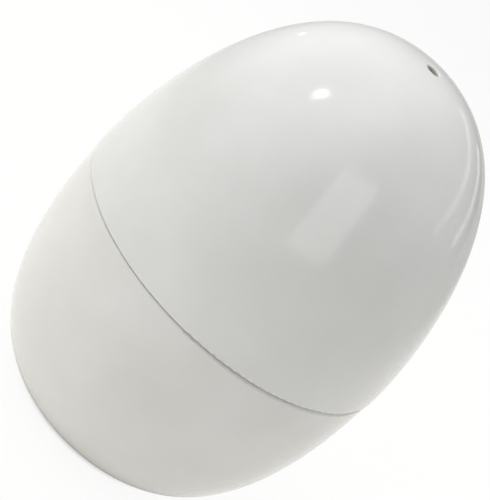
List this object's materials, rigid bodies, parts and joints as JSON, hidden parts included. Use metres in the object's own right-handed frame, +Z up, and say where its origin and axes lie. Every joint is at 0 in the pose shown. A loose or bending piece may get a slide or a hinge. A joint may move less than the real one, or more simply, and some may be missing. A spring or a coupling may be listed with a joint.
{
  "type": "microwave egg cooker",
  "caption": "Egg-shaped plastic steam cooker for an egg in a microwave oven, with a bayonet lid, a metal cup and liner inside, and a vent at the tip.",
  "frame": {"origin": "centre of the flat foot, at the level of the surface it stands on", "axes": "+Z up along the egg's axis, from the foot to the vent at the tip; +X and +Y are free, as the outside is round"},
  "size_m": [0.068, 0.068, 0.0925],
  "materials": {
    "white_plastic": "glossy moulded polypropylene",
    "drawn_aluminium": "bright drawn sheet"
  },
  "bodies": {
    "base": {"base_shell": "white_plastic", "egg_cup": "drawn_aluminium"},
    "liner": {"lid_liner": "drawn_aluminium"},
    "lid": {"lid_shell": "white_plastic"}
  },
  "joints": [
    {"name": "lid_lift", "type": "slide", "parent": "base", "child": "liner", "axis": [0, 0, 1], "range_m": [0, 0.08]},
    {"name": "lid_turn", "type": "hinge", "parent": "liner", "child": "lid", "pos_m": [0, 0, 0.0405], "axis": [0, 0, -1], "range_deg": [0, 24]}
  ]
}
